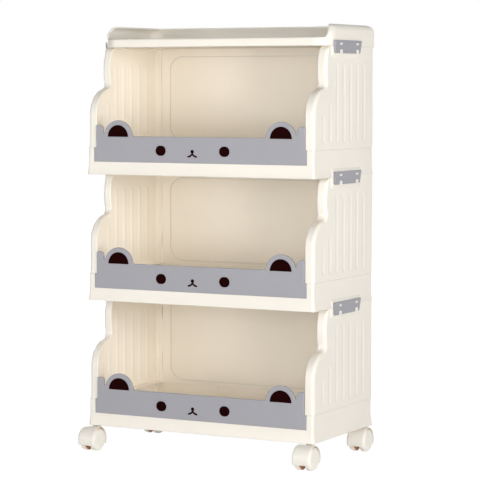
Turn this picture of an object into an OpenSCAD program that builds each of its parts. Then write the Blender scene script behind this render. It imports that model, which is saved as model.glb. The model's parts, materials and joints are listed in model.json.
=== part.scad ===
// Three-tier rolling storage rack for a child's room: open bins, a tray on top and four twin-wheel casters.
// The origin is on the floor, in the middle of the footprint of rack and casters. The front faces -Y.

/* [Rack] */
// Width across the flared foot of a shelf
rack_w = 421; // [400:1:480]
// Depth across the flared foot of a shelf
rack_d = 226; // [216:1:280]
// Height from one shelf to the next
tier_h = 209.5; // [200:0.5:240]
// Wall of the moulded pieces
wall = 2.4; // [2:0.1:2.8]
// Gap between moulded pieces that slot together
fit = 0.2; // [0.1:0.05:0.3]

/* [Shelf] */
// Height of a shelf's side walls
shelf_h = 45; // [40:0.5:50]
// Height of the band under the front rail
sill_h = 21; // [20:0.5:24]
// How far the foot of a shelf flares out
flare = 2.5; // [1:0.25:3]
// Height of the flare
flare_h = 16; // [6:0.5:20]
// Radius of the upright corners
corner_r = 4; // [3:0.5:12]
// Depth of the ledge that the front rail stands on
sill_d = 5.7; // [5:0.1:8]
// Height of the lip behind the front rail, above the ledge
lip_h = 11; // [6:0.5:14]

/* [Side panels] */
// Depth of the rim that stiffens a side panel
rim_d = 15.5; // [14:0.5:20]
// Width of the rim along the back
back_rim_w = 13; // [11:0.5:15]
// How far the front edge stands back from the shelf's face
edge_set = 1.5; // [0.5:0.25:3]
// Radius of the lower lobe of the front edge
lower_lobe_r = 44; // [38:1:48]
// Height of the lower lobe's centre above the panel's foot
lower_lobe_z = 53; // [48:1:58]
// How far the upper lobe stands back from the lower one
upper_lobe_set = 43; // [40:1:50]
// Radius of the upper lobe
upper_lobe_r = 79; // [70:1:90]
// Height of the upper lobe's centre below the panel's top
upper_lobe_drop = 36.5; // [32:0.5:40]
// Radius of the hollow between the lobes
hollow_r = 10; // [6:0.5:14]
// Radius of the front edge's top corner
top_corner_r = 14; // [10:0.5:18]

/* [Flutes] */
// Number of upright flutes on a side panel
flute_n = 7; // [4:1:8]
// How many of them, from the front, are short
flute_short_n = 2; // [0:1:3]
// Spacing of the flutes
flute_pitch = 25.2; // [20:0.1:26]
// Distance of the first flute from the shelf's face
flute_start = 34.5; // [30:0.5:40]
// Radius of a flute's hollow
flute_r = 16; // [12:0.5:20]
// Depth of a flute
flute_depth = 1; // [0.6:0.1:1.4]
// Height of the flutes' lower ends above the panel's foot
flute_foot = 11; // [6:0.5:16]
// Distance of the tall flutes' upper ends below the panel's top
flute_drop = 29; // [26:0.5:34]
// Length of the shortest flute
flute_short_h = 43; // [30:1:44]
// How much longer each next short flute is
flute_short_step = 18; // [10:1:20]

/* [Back panel] */
// Distance of the raised field from the panel's side edges
field_side = 19; // [12:1:40]
// Distance of the raised field from the panel's top
field_top = 13.5; // [8:0.5:30]
// Distance of the raised field from the panel's foot
field_foot = 8; // [6:0.5:30]
// Corner radius of the raised field
field_r = 24; // [10:1:40]
// How far the field stands proud
field_rise = 0.8; // [0.4:0.1:1.2]

/* [Front rail] */
// Distance of the rail's foot from the shelf's outer walls
rail_set = 11.8; // [10.8:0.1:14]
// Thickness of the rail
rail_t = 4; // [3.4:0.1:4.2]
// Height of the rail between the ears
rail_h = 42.5; // [40:0.5:46]
// Height of the posts at the rail's ends
post_h = 60.4; // [54:0.2:64]
// Width of the posts
post_w = 12.8; // [10:0.2:15]
// Distance of the ears' centres from the posts' outer edges
ear_set = 41.9; // [40:0.1:52]
// Height of the ears' centres
ear_z = 41.5; // [38:0.5:44]
// Outer radius of the ears
ear_r = 27; // [24:0.5:28]
// Radius of the dark inner ear
inner_ear_r = 19.3; // [14:0.1:21]
// Height of the rail between ear and post
notch_h = 48.2; // [46:0.2:52]
// How far the face sits to one side of the middle
face_shift = -10.2; // [-14:0.1:14]
// Distance of the eyes from the face's middle
eye_x = 58.9; // [50:0.1:64]
// Height of the eyes
eye_z = 19.8; // [17:0.1:24]
// Radius of the eyes
eye_r = 8.2; // [6:0.1:9.5]
// Radius of the nose
nose_r = 2.7; // [2:0.1:3.4]
// Half width of the mouth, which is also the radius of its two curves
mouth_r = 7.5; // [6:0.1:9]
// How far the eyes' two round ends stand from their middle
eye_spread = 1.2; // [0:0.1:2]
// How far the dark inner ears reach down below the rail's upper edge
ear_cut = 1; // [0:0.1:3]
// Width of the mouth's line
mouth_w = 2; // [1.4:0.1:2.4]
// Thickness of the dark inlays
inlay_t = 0.8; // [0.6:0.1:1.2]
// Depth of the pockets that hold them
pocket_d = 0.6; // [0.4:0.1:0.6]

/* [Top tray] */
// How far the top tray's front stands back from the shelves' face
top_set = 45.5; // [40:0.5:56]
// Height of its front lip
top_lip_h = 14; // [12:0.5:18]
// Height of its gallery
gallery_h = 35.5; // [32:0.5:45]
// Radius of its front corners
top_front_r = 28; // [20:1:36]
// Radius of the gallery's upper edge, which rolls inwards at the sides and the back
roll_r = 12; // [8:0.5:14]
// Radius of the shoulder in which the gallery's sides drop to the front lip
shoulder_r = 24; // [18:1:30]
// Distance from the tray's front to the centre of the shoulder
shoulder_set = 33; // [28:0.5:40]
// Radius of the hollow at the shoulder's foot
shoulder_foot_r = 5; // [3:0.5:8]

/* [Link plates] */
// Length of a link plate
plate_l = 99.5; // [90:0.5:106]
// Height of a link plate
plate_h = 21; // [19:0.5:24]
// Thickness of a link plate
plate_t = 3.5; // [1.6:0.1:4]
// How far it reaches above the joint that it bridges
plate_up = 9.5; // [8:0.5:11]
// Distance of its front end from the shelves' face
plate_start = 65.5; // [62:0.5:74]
// How much shorter its lower edge is at the back
plate_slant = 5; // [2:0.5:8]
// Distance of the front pegs from the plate's front end
peg_set = 22; // [16:0.5:28]
// Spacing of the pegs
peg_pitch = 61; // [50:0.5:62]
// Height of the upper pegs above the joint
peg_up = 3.6; // [3:0.1:5]
// Depth of the lower pegs below the joint
peg_down = 7; // [6:0.1:8]
// Length of a peg, which is flat with round ends
peg_l = 7; // [5:0.5:9]
// Radius of a peg's ends
peg_r = 1.7; // [1.4:0.1:2.2]
// Clearance around the pegs in a plate's holes
peg_gap = 0.3; // [0.2:0.05:0.5]
// How far the moulded pads run past the plate
pad_margin = 6; // [3:0.5:6]

/* [Casters] */
// Height of the lowest shelf above the floor
caster_h = 41.5; // [41.5:0.1:46]
// Radius of the wheels
wheel_r = 19; // [17:0.1:19.4]
// Width of one wheel
wheel_w = 11.3; // [10:0.1:15]
// Thickness of the web between the wheels
web_t = 8.6; // [8.6:0.1:10]
// Distance from the swivel axis to the wheels' axle
trail = 15; // [12:0.5:16]
// Direction in which the casters trail at rest, from +X
caster_angle = 270; // [0:1:360]
// Distance of a swivel axis from the shelf's outer walls
stem_inset = 9; // [9:0.1:10]
// Radius of the swivel stem
stem_r = 3; // [2.6:0.1:3.1]
// Radius of the axle
axle_r = 2.5; // [2:0.1:3]
// Wall of the hood over the wheels
hood_t = 1.5; // [1.4:0.1:1.8]
// Gap between the wheels and the hood
wheel_gap = 0.8; // [0.6:0.1:1]
// Height of the hood's lower edge above the floor
skirt_z = 10.5; // [10:0.5:15]
// Radial running clearance of stem and axle
run = 0.06; // [0.04:0.01:0.1]
// Depth of the sleeve that holds the stem
sleeve_l = 17; // [14:0.5:17.5]

/* [Hidden] */
TIERS = ["lower", "middle", "upper"];
SIDES = [["left", -1], ["right", 1]];
CORNERS = [
    ["front_left", -1, -1],
    ["front_right", 1, -1],
    ["back_left", -1, 1],
    ["back_right", 1, 1]
];
TIER_PARTS = ["shelf", "left_panel", "right_panel", "back_panel", "front_rail", "ear_inlays", "face_inlays",
    "left_link_plate", "right_link_plate"];
CASTER_PARTS = ["caster_sleeve", "caster_stem", "caster_hood", "caster_axle", "left_wheel", "right_wheel"];

$fn = 64;
CREAM = [0.94, 0.91, 0.86];
GREY = [0.67, 0.67, 0.69];
MAROON = [0.12, 0.03, 0.04];
STEEL = [0.72, 0.73, 0.75];
eps = 0.01;

body_w = rack_w - 2 * flare;
body_d = rack_d - 2 * flare;
face_y = -body_d / 2;
back_y = body_d / 2;
inner_x = body_w / 2 - wall;
panel_h = tier_h - shelf_h;
panel_t = wall;
rim_x = body_w / 2 - rim_d;
back_rim_x = body_w / 2 - back_rim_w;
// The rail stands half a millimetre proud of the shelf's face.
rail_proud = 0.5;
rail_y = face_y - rail_proud;
rail_step = shelf_h - sill_h;
rail_w = body_w - 2 * rail_set;
// The rail's upper part fits between the side panels' rims.
rail_upper_w = 2 * (rim_x - 1.5 * fit);
ear_x = rail_upper_w / 2 - ear_set;
tab_t = 1.8;
tab_depth = 8;
tab_l = 30;
top_z = caster_h + len(TIERS) * tier_h;
pad_y0 = face_y + plate_start - pad_margin;
pad_y1 = face_y + plate_start + plate_l + plate_slant + pad_margin;
pad_up = plate_up + 2.5;
pad_down = plate_h - plate_up + pad_margin + 2;
pad_r = 5;
stem_x = body_w / 2 - stem_inset;
stem_y = body_d / 2 - stem_inset;
boss_r = 7.5;
boss_h = sleeve_l + wall;
sleeve_r = 5.5;
hood_in = wheel_r + wheel_gap;
hood_out = hood_in + hood_t;
stem_flange_t = 1.2;
hood_top = caster_h - stem_flange_t - fit;
stem_head_r = stem_r + 0.5;
stem_foot = wheel_r + axle_r + 5;
stem_head_t = 3;
hub_gap = 0.4;
bore_depth = wheel_w - 2.2;
peg_proud = 0.3;
caster_half = web_t / 2 + hub_gap + wheel_w;
trail_x = trail * cos(caster_angle);
trail_y = trail * sin(caster_angle);
caster_x = abs(cos(caster_angle)) * hood_out + abs(sin(caster_angle)) * caster_half;
caster_y = abs(sin(caster_angle)) * hood_out + abs(cos(caster_angle)) * caster_half;
plate_x = rack_w / 2 + plate_t + peg_proud;

// How far the footprint reaches to one side: to the rack's side or, past it, to the casters that trail by d
function reach(side, stem, d, half) = max(side, stem + d + half);

// From the middle of the footprint to the middle of the shelves
stand = [
    (reach(plate_x, stem_x, -trail_x, caster_x) - reach(plate_x, stem_x, trail_x, caster_x)) / 2,
    (reach(rack_d / 2, stem_y, -trail_y, caster_y) - reach(rack_d / 2, stem_y, trail_y, caster_y)) / 2
];

function shelf_z(i) = caster_h + i * tier_h;

// Points of an arc, from angle a to angle b, ends included
function arc(c, r, a, b, n = 10) =
    [for (k = [0 : n]) c + r * [cos(a + (b - a) * k / n), sin(a + (b - a) * k / n)]];

// Direction from one point to another
function heading(p, q) = atan2(q[1] - p[1], q[0] - p[0]);

// The crossing, on the left of the line p to q, of the circles about p and q with radii a and b
function crossing(p, a, q, b) =
    let (d = norm(q - p), along = (d * d + a * a - b * b) / (2 * d), aside = sqrt(a * a - along * along))
    let (u = (q - p) / d)
    p + along * u + aside * [-u[1], u[0]];

// A flat plate from y0 to y1 with round corners, those at y0 with radius r0 and those at y1 with radius r1
module round_plate(w, y0, y1, r0, r1) {
    translate([-w / 2, y0 + r0]) square([w, y1 - y0 - r0 - r1]);
    translate([-w / 2 + r0, y0]) square([w - 2 * r0, r0 + 1]);
    translate([-w / 2 + r1, y1 - r1 - 1]) square([w - 2 * r1, r1 + 1]);
    for (s = [-1, 1]) {
        translate([s * (w / 2 - r0), y0 + r0]) circle(r0);
        translate([s * (w / 2 - r1), y1 - r1]) circle(r1);
    }
}

module mirrored() {
    children();
    mirror([1, 0, 0]) children();
}

// A block from one corner to the opposite one
module block(p, q) {
    translate(p) cube(q - p);
}

// Flat outline of a moulded shelf, inset by e
module shelf_outline(e = 0) {
    round_plate(body_w - 2 * e, face_y + e, back_y - e, corner_r - e, corner_r - e);
}

// The widening foot of a shelf: two sloping slabs and a cone at each corner, all running on into the walls
module shelf_flare() {
    corner_x = body_w / 2 - corner_r;
    corner_y = body_d / 2 - corner_r;
    bite = wall / 4;
    h = flare_h * (flare + bite) / flare;
    x1 = body_w / 2 - bite;
    y1 = body_d / 2 - bite;
    translate([0, corner_y, 0])
        rotate([90, 0, 0])
            linear_extrude(2 * corner_y)
                polygon([[-rack_w / 2, 0], [rack_w / 2, 0], [x1, h], [-x1, h]]);
    translate([-corner_x, 0, 0])
        rotate([90, 0, 90])
            linear_extrude(2 * corner_x)
                polygon([[-rack_d / 2, 0], [rack_d / 2, 0], [y1, h], [-y1, h]]);
    for (x = [-corner_x, corner_x], y = [-corner_y, corner_y])
        translate([x, y, 0]) cylinder(r1 = corner_r + flare, r2 = corner_r - bite, h = h);
}

// Upright side pad that a link plate lies against, on the +X side
module plate_pad(z0, z1) {
    x0 = inner_x + eps;
    block([x0, pad_y0, z0], [rack_w / 2, pad_y1, z1]);
}

// Outline of a peg in depth and height, grown by g
module peg_outline(g = 0) {
    half = peg_l / 2 - peg_r;
    for (s = [-1, 1])
        translate([s * half, 0]) circle(peg_r + g);
    translate([-half, -peg_r - g]) square([2 * half, 2 * (peg_r + g)]);
}

// Two pegs on the +X side at height z
module pegs(z) {
    for (k = [0, 1])
        translate([rack_w / 2 - eps, face_y + plate_start + peg_set + k * peg_pitch, z])
            rotate([90, 0, 90])
                linear_extrude(plate_t + peg_proud)
                    peg_outline();
}

// One shelf: floor, walls, front ledge for the rail, corner bosses for casters and pads for the link plates
module shelf(i) {
    ledge_y = face_y + sill_d;
    lip_t = sill_d - rail_t + rail_proud - fit;
    lip_x = stem_x - boss_r - 4;
    color(CREAM)
        translate([0, 0, shelf_z(i)])
            difference() {
                union() {
                    difference() {
                        union() {
                            linear_extrude(shelf_h) shelf_outline();
                            shelf_flare();
                        }
                        translate([0, 0, wall]) linear_extrude(shelf_h) shelf_outline(wall);
                        // The front wall is low between its two corner posts.
                        block([-rail_w / 2 - fit, -rack_d, sill_h],
                            [rail_w / 2 + fit, face_y + corner_r, shelf_h + 1]);
                    }
                    block([-lip_x, face_y + 1, sill_h - wall], [lip_x, ledge_y, sill_h]);
                    block([-lip_x, ledge_y - lip_t, sill_h - wall], [lip_x, ledge_y, sill_h + lip_h]);
                    mirrored()
                        for (s = [-1, 1])
                            translate([stem_x, s * stem_y, eps]) cylinder(r = boss_r, h = boss_h);
                    if (i > 0)
                        mirrored() {
                            plate_pad(0, pad_up);
                            pegs(peg_up);
                        }
                }
                mirrored()
                    for (s = [-1, 1])
                        translate([stem_x, s * stem_y, -1]) cylinder(r = sleeve_r + 0.02, h = sleeve_l + 1);
            }
}

// Side outline of a panel in depth and height above its foot, inset by e
function panel_profile(e = 0) =
    let (
        f = face_y + edge_set,
        c1 = [f + lower_lobe_r, lower_lobe_z],
        c2 = [f + upper_lobe_set + upper_lobe_r, panel_h - upper_lobe_drop],
        ch = crossing(c1, lower_lobe_r + hollow_r, c2, upper_lobe_r + hollow_r),
        c3_z = panel_h - top_corner_r,
        c3 = [c2[0] - sqrt(pow(upper_lobe_r - top_corner_r, 2) - pow(c3_z - c2[1], 2)), c3_z]
    )
    concat(
        [[f + e, e]],
        arc(c1, lower_lobe_r - e, 180, heading(c1, ch), 16),
        arc(ch, hollow_r + e, heading(ch, c1), heading(ch, c2), 8),
        arc(c2, upper_lobe_r - e, heading(c2, ch) + 360, heading(c2, c3), 12),
        arc(c3, top_corner_r - e, heading(c2, c3), 90, 8),
        [[back_y - e, panel_h - e], [back_y - e, e]]
    );

// A panel's outline as a slab between two distances from the middle
module panel_slab(x0, x1, e) {
    translate([x0, 0, 0])
        rotate([90, 0, 90])
            linear_extrude(x1 - x0)
                polygon(panel_profile(e));
}

function flute_y(k) = face_y + flute_start + k * flute_pitch;
function flute_h(k) =
    k < flute_short_n ? flute_short_h + k * flute_short_step : panel_h - flute_drop - flute_foot;

// Right side panel of tier i: a shallow pan with a rim, fluted, with tabs that hook inside the shelf below
module side_panel(i) {
    outer_x = body_w / 2;
    skin_x = outer_x - panel_t;
    flute_x = outer_x + flute_r - flute_depth;
    translate([0, 0, shelf_z(i) + shelf_h])
        difference() {
            union() {
                difference() {
                    panel_slab(rim_x, outer_x, 0);
                    panel_slab(rim_x - 1, skin_x, wall);
                    // The back rim is narrower, and the back panel fits between the two.
                    block([rim_x - 1, back_y - wall - fit, -1], [back_rim_x, back_y + 1, panel_h + 1]);
                }
                for (k = [0 : flute_n - 1])
                    intersection() {
                        translate([flute_x, flute_y(k), flute_foot])
                            cylinder(r = flute_r + panel_t, h = flute_h(k));
                        block([skin_x - 2 * flute_depth, face_y, 0], [skin_x + eps, back_y, panel_h]);
                    }
                intersection() {
                    plate_pad(panel_h - pad_down, panel_h);
                    panel_pad_round();
                }
                pegs_below();
                for (y = [-1, 1])
                    block([inner_x - fit - tab_t, y * body_d / 4 - tab_l / 2, -tab_depth],
                        [inner_x - fit, y * body_d / 4 + tab_l / 2, wall]);
            }
            for (k = [0 : flute_n - 1])
                translate([flute_x, flute_y(k), flute_foot]) cylinder(r = flute_r, h = flute_h(k));
        }
}

// Rounds the two lower corners of a panel's pad
module panel_pad_round() {
    z0 = panel_h - pad_down;
    for (y = [pad_y0 + pad_r, pad_y1 - pad_r])
        translate([0, y, z0 + pad_r]) rotate([0, 90, 0]) cylinder(r = pad_r, h = rack_w);
    block([0, pad_y0 + pad_r, z0], [rack_w, pad_y1 - pad_r, z0 + pad_r]);
    block([0, pad_y0, z0 + pad_r], [rack_w, pad_y1, panel_h]);
}

module pegs_below() {
    pegs(panel_h - peg_down);
}

// Back panel of tier i, with a raised field towards the front, foot tabs and clips behind the side rims
module back_panel(i) {
    half = back_rim_x - 1.5 * fit;
    front = back_y - wall;
    clip_l = 24;
    clip_w = 6;
    color(CREAM)
        translate([0, 0, shelf_z(i) + shelf_h]) {
            block([-half, front, 0], [half, back_y, panel_h]);
            translate([0, front + eps, 0])
                rotate([90, 0, 0])
                    linear_extrude(field_rise + eps)
                        round_plate(2 * (half - field_side), field_foot, panel_h - field_top,
                            field_r, field_r);
            for (x = [-half / 2, 0, half / 2]) {
                block([x - tab_l / 2, front - fit - tab_t, -tab_depth], [x + tab_l / 2, front - fit, wall]);
                block([x - tab_l / 2, front - fit - tab_t, eps], [x + tab_l / 2, front + eps, wall]);
            }
            mirrored()
                for (z = [0.25, 0.75] * panel_h) {
                    block([half - clip_w, back_y - eps, z - clip_l / 2],
                        [half, back_y + flare, z + clip_l / 2]);
                    block([half - clip_w, back_y + fit, z - clip_l / 2],
                        [half + clip_w, back_y + flare, z + clip_l / 2]);
                }
        }
}

// Flat outline of the front rail, with its posts and the two ears
module rail_outline() {
    post_x = rail_upper_w / 2 - post_w;
    post_r = 4.5;
    ear_fillet = 4;
    ear_foot_x = ear_x - sqrt(ear_r * ear_r - pow(rail_h - ear_z, 2));
    translate([-rail_w / 2, 0]) square([rail_w, rail_step - fit]);
    translate([-rail_upper_w / 2, 0]) square([rail_upper_w, rail_h]);
    for (s = [-1, 1])
        scale([s, 1]) {
            translate([post_x, 0]) square([post_w, post_h - post_r]);
            translate([post_x + post_r, 0]) square([post_w - post_r, post_h]);
            translate([post_x + post_r, post_h - post_r]) circle(post_r);
            translate([ear_x, 0]) square([post_x + 1 - ear_x, notch_h]);
            translate([ear_x, ear_z]) circle(ear_r);
            difference() {
                translate([ear_foot_x - ear_fillet, rail_h - eps]) square(ear_fillet + 1);
                translate([ear_foot_x - ear_fillet, rail_h + ear_fillet]) circle(ear_fillet);
            }
        }
}

// A half disc of the inner ear, grown by g
module inner_ear(g = 0) {
    intersection() {
        translate([ear_x, ear_z]) circle(inner_ear_r + g);
        translate([0, rail_h - ear_cut - g]) square([rail_w, ear_r * 2]);
    }
}

module inner_ears(g = 0) {
    inner_ear(g);
    mirror([1, 0]) inner_ear(g);
}

// Eyes, nose and mouth, grown by g
module face_marks(g = 0) {
    nose_z = eye_z - 0.8;
    curve_z = nose_z - 0.6;
    stem_drop = 5;
    translate([face_shift, 0]) {
        for (s = [-1, 1]) {
            for (e = [-1, 1] * eye_spread)
                translate([s * eye_x + e, eye_z]) circle(eye_r + g);
            translate([s * eye_x - eye_spread, eye_z - eye_r - g]) square([2 * eye_spread, 2 * (eye_r + g)]);
            // Each half of the mouth is a part of a ring.
            translate([s * mouth_r, curve_z])
                intersection() {
                    difference() {
                        circle(mouth_r + mouth_w / 2 + g);
                        circle(mouth_r - mouth_w / 2 - g);
                    }
                    polygon([[0, 0], [0, -20], [-s * 20, -20], [-s * 20, -13]]);
                }
        }
        translate([0, nose_z]) circle(nose_r + g);
        translate([-mouth_w / 2 - g, nose_z - stem_drop - g]) square([mouth_w + 2 * g, stem_drop]);
    }
}

// Stands a flat outline up in the rail's plane, from this depth behind the rail's face towards the front
module upright(depth, t) {
    translate([0, rail_y + depth, 0])
        rotate([90, 0, 0])
            linear_extrude(t)
                children();
}

// Front rail of tier i, with pockets for the inlays and hooks behind the side panels' rims
module front_rail(i) {
    hook_z0 = rail_step + 4;
    hook_z1 = post_h - 3;
    hook_w = 6;
    rim_back = face_y + edge_set + wall + fit;
    color(GREY)
        translate([0, 0, shelf_z(i) + sill_h])
            difference() {
                union() {
                    upright(rail_t, rail_t) rail_outline();
                    mirrored() {
                        block([rail_upper_w / 2 - hook_w, rail_y + rail_t - eps, hook_z0],
                            [rail_upper_w / 2, rim_back + tab_t, hook_z1]);
                        block([rail_upper_w / 2 - hook_w, rim_back, hook_z0],
                            [rail_upper_w / 2 + hook_w, rim_back + tab_t, hook_z1]);
                    }
                }
                upright(pocket_d, pocket_d + 1) {
                    inner_ears(0.1);
                    face_marks(0.1);
                }
            }
}

module ear_inlays(i) {
    color(MAROON)
        translate([0, 0, shelf_z(i) + sill_h])
            upright(pocket_d, inlay_t) inner_ears();
}

module face_inlays(i) {
    color(MAROON)
        translate([0, 0, shelf_z(i) + sill_h])
            upright(pocket_d, inlay_t) face_marks();
}

// Plate on the +X side that links the panel of tier i with the shelf above it
module link_plate(i) {
    y0 = face_y + plate_start;
    low = plate_up - plate_h;
    translate([rack_w / 2, 0, shelf_z(i + 1)])
        rotate([90, 0, 90])
            linear_extrude(plate_t)
                difference() {
                    polygon(concat(
                        arc([y0 + 2, plate_up - 2], 2, 180, 90, 4),
                        arc([y0 + plate_l - 2, plate_up - 2], 2, 90, 0, 4),
                        arc([y0 + plate_l - plate_slant - 4, low + 4], 4, 0, -90, 6),
                        arc([y0 + 5, low + 4], 4, -90, -180, 6)
                    ));
                    for (k = [0, 1])
                        translate([y0 + peg_set + k * peg_pitch, 0]) {
                            translate([0, peg_up]) peg_outline(peg_gap);
                            translate([0, -peg_down]) peg_outline(peg_gap);
                            translate([-peg_l / 2 - peg_gap, -plate_h])
                                square([peg_l + 2 * peg_gap, plate_h - peg_down]);
                        }
                }
}

// Space that the top tray fills, inset by e: its sides and its back roll inwards at the top
module tray_form(e = 0) {
    y0 = face_y + top_set;
    y1 = rack_d / 2;
    half = rack_w / 2;
    roll_z = gallery_h - roll_r;
    intersection() {
        linear_extrude(gallery_h)
            round_plate(rack_w - 2 * e, y0 + e, y1 - e, top_front_r - e, corner_r - e);
        rotate([90, 0, 0])
            linear_extrude(2 * rack_d, center = true) {
                translate([-half + e, 0]) square([2 * (half - e), roll_z]);
                translate([-half + roll_r, 0]) square([2 * (half - roll_r), gallery_h - e]);
                for (s = [-1, 1])
                    translate([s * (half - roll_r), roll_z]) circle(roll_r - e);
            }
        rotate([90, 0, 90])
            linear_extrude(2 * rack_w, center = true) {
                translate([y0 - 1, 0]) square([y1 - e - y0 + 1, roll_z]);
                translate([y0 - 1, 0]) square([y1 - roll_r - y0 + 1, gallery_h - e]);
                translate([y1 - roll_r, roll_z]) circle(roll_r - e);
            }
    }
}

// Top tray: a low lip in front and a gallery round the other three sides
module top_tray() {
    y0 = face_y + top_set;
    y1 = rack_d / 2;
    shoulder = [y0 + shoulder_set, gallery_h - shoulder_r];
    foot_z = top_lip_h + shoulder_foot_r;
    foot_y = shoulder[0] - sqrt(pow(shoulder_r + shoulder_foot_r, 2) - pow(foot_z - shoulder[1], 2));
    foot = [foot_y, foot_z];
    a = heading(foot, shoulder);
    color(CREAM)
        translate([0, 0, top_z])
            union() {
                difference() {
                    tray_form();
                    intersection() {
                        tray_form(wall);
                        block([-rack_w, -rack_d, wall], [rack_w, rack_d, gallery_h]);
                    }
                    // The mouth lies inside the rolled edge.
                    translate([0, 0, gallery_h - roll_r])
                        linear_extrude(roll_r + 1)
                            round_plate(rack_w - 2 * roll_r, y0 - 1, y1 - roll_r, 1, roll_r);
                    // The gallery's sides drop to the lip in a shoulder.
                    rotate([90, 0, 90])
                        linear_extrude(2 * rack_w, center = true)
                            polygon(concat(
                                [[y0 - 10, gallery_h + 1], [y0 - 10, top_lip_h]],
                                arc(foot, shoulder_foot_r, -90, a),
                                arc(shoulder, shoulder_r, a + 180, 90),
                                [[shoulder[0], gallery_h + 1]]
                            ));
                }
                mirrored() pegs(peg_up);
            }
}

// Places a part of the caster at one corner, with +X pointing the way it trails
module at_corner(corner) {
    translate([corner[1] * stem_x, corner[2] * stem_y, 0])
        rotate([0, 0, caster_angle])
            children();
}

// Places a part on the axle, with +Z along it
module on_axle() {
    translate([trail, 0, wheel_r]) rotate([90, 0, 0]) children();
}

module caster_sleeve(corner) {
    color(CREAM)
        at_corner(corner)
            translate([0, 0, caster_h])
                difference() {
                    cylinder(r = sleeve_r, h = sleeve_l);
                    translate([0, 0, -1]) cylinder(r = stem_r + 0.02, h = sleeve_l + 2);
                }
}

// Steel stem with a flange against the shelf and a head that keeps the hood on
module caster_stem(corner) {
    color(STEEL)
        at_corner(corner) {
            translate([0, 0, stem_foot]) cylinder(r = stem_r, h = caster_h + sleeve_l - stem_foot);
            translate([0, 0, stem_foot]) cylinder(r = stem_head_r, h = stem_head_t);
            translate([0, 0, caster_h - stem_flange_t]) cylinder(r = stem_r + 3.5, h = stem_flange_t);
        }
}

// Half section of the hood's shell: inner radius, outer radius and rounded shoulders
module hood_section() {
    half = caster_half;
    shoulder = 5;
    intersection() {
        polygon(concat(
            [[hood_in - 3, -half]],
            arc([hood_out - shoulder, -half + shoulder - 1], shoulder, -60, 0, 8),
            arc([hood_out - shoulder, half - shoulder + 1], shoulder, 0, 60, 8),
            [[hood_in - 3, half]]
        ));
        translate([hood_in - 2, -half]) square([20, 2 * half]);
    }
}

module caster_hood(corner) {
    boss_top_r = 7;
    color(CREAM)
        at_corner(corner)
            difference() {
                union() {
                    on_axle() rotate_extrude() hood_section();
                    on_axle() cylinder(r = hood_in, h = web_t, center = true);
                    translate([0, 0, stem_foot - 2]) cylinder(r = boss_top_r, h = hood_top - stem_foot + 2);
                }
                // Room for the two wheels, beside the web
                for (s = [-1, 1])
                    on_axle()
                        translate([0, 0, s * (web_t / 2 + wheel_w)])
                            cylinder(r = hood_in, h = 2 * wheel_w, center = true);
                // The skirt is cut flat.
                block([-50, -50, -10], [80, 50, skirt_z]);
                on_axle() cylinder(r = axle_r + 0.02, h = web_t + 2, center = true);
                translate([0, 0, stem_foot]) cylinder(r = stem_r + run, h = caster_h);
                translate([0, 0, stem_foot - fit])
                    cylinder(r = stem_head_r + run, h = stem_head_t + 2 * fit);
            }
}

module caster_axle(corner) {
    color(STEEL)
        at_corner(corner)
            on_axle()
                cylinder(r = axle_r, h = web_t + 2 * (hub_gap + bore_depth - fit), center = true);
}

// A wheel on one side of the web, s is 1 or -1: rounded tread, dished face and a blind bore for the axle
module wheel(corner, s) {
    tread_r = 4;
    inner_r = 2;
    face = wheel_w;
    color(CREAM)
        at_corner(corner)
            on_axle()
                scale([1, 1, s])
                    translate([0, 0, web_t / 2 + hub_gap])
                        rotate_extrude()
                            polygon(concat(
                                [[axle_r + run, 0], [wheel_r - inner_r, 0]],
                                arc([wheel_r - inner_r, inner_r], inner_r, -80, 0, 5),
                                arc([wheel_r - tread_r, face - tread_r], tread_r, 0, 90, 8),
                                [[wheel_r - 5.5, face - 0.8], [4, face], [0, face], [0, bore_depth],
                                    [axle_r + run, bore_depth]]
                            ));
}

module left_panel(i) {
    color(CREAM) mirror([1, 0, 0]) side_panel(i);
}

module right_panel(i) {
    color(CREAM) side_panel(i);
}

module left_link_plate(i) {
    color(GREY) mirror([1, 0, 0]) link_plate(i);
}

module right_link_plate(i) {
    color(GREY) link_plate(i);
}

translate(stand) {
    for (i = [0 : len(TIERS) - 1]) {
        shelf(i);
        left_panel(i);
        right_panel(i);
        back_panel(i);
        front_rail(i);
        ear_inlays(i);
        face_inlays(i);
        left_link_plate(i);
        right_link_plate(i);
    }
    top_tray();
    for (corner = CORNERS) {
        caster_sleeve(corner);
        caster_stem(corner);
        caster_hood(corner);
        caster_axle(corner);
        wheel(corner, 1);
        wheel(corner, -1);
    }
}
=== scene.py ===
"""Looks for a three-tier rolling storage rack.

Cream moulded bins with fluted sides, grey rails with round ears, and small twin-wheel casters."""
import json
import math

import bmesh
import bpy
import numpy as np
from mathutils import Matrix, Vector
from mathutils.geometry import delaunay_2d_cdt


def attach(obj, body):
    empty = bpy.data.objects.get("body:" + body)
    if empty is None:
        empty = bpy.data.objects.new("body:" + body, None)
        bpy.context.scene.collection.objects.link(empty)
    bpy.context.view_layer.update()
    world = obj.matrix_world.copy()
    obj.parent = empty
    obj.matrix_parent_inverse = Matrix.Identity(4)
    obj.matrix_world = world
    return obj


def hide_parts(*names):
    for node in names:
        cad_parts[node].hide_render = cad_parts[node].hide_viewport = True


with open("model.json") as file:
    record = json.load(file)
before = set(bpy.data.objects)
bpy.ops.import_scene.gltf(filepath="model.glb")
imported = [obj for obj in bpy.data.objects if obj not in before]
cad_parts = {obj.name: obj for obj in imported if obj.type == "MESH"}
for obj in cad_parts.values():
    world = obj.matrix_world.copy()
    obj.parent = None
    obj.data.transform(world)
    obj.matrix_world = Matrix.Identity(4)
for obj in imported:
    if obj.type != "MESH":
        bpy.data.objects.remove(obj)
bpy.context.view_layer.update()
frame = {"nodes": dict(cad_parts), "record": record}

# Sizes in millimetres. The main ones are those of the part's source
MM = 0.001
TIERS = ("lower", "middle", "upper")
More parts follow.
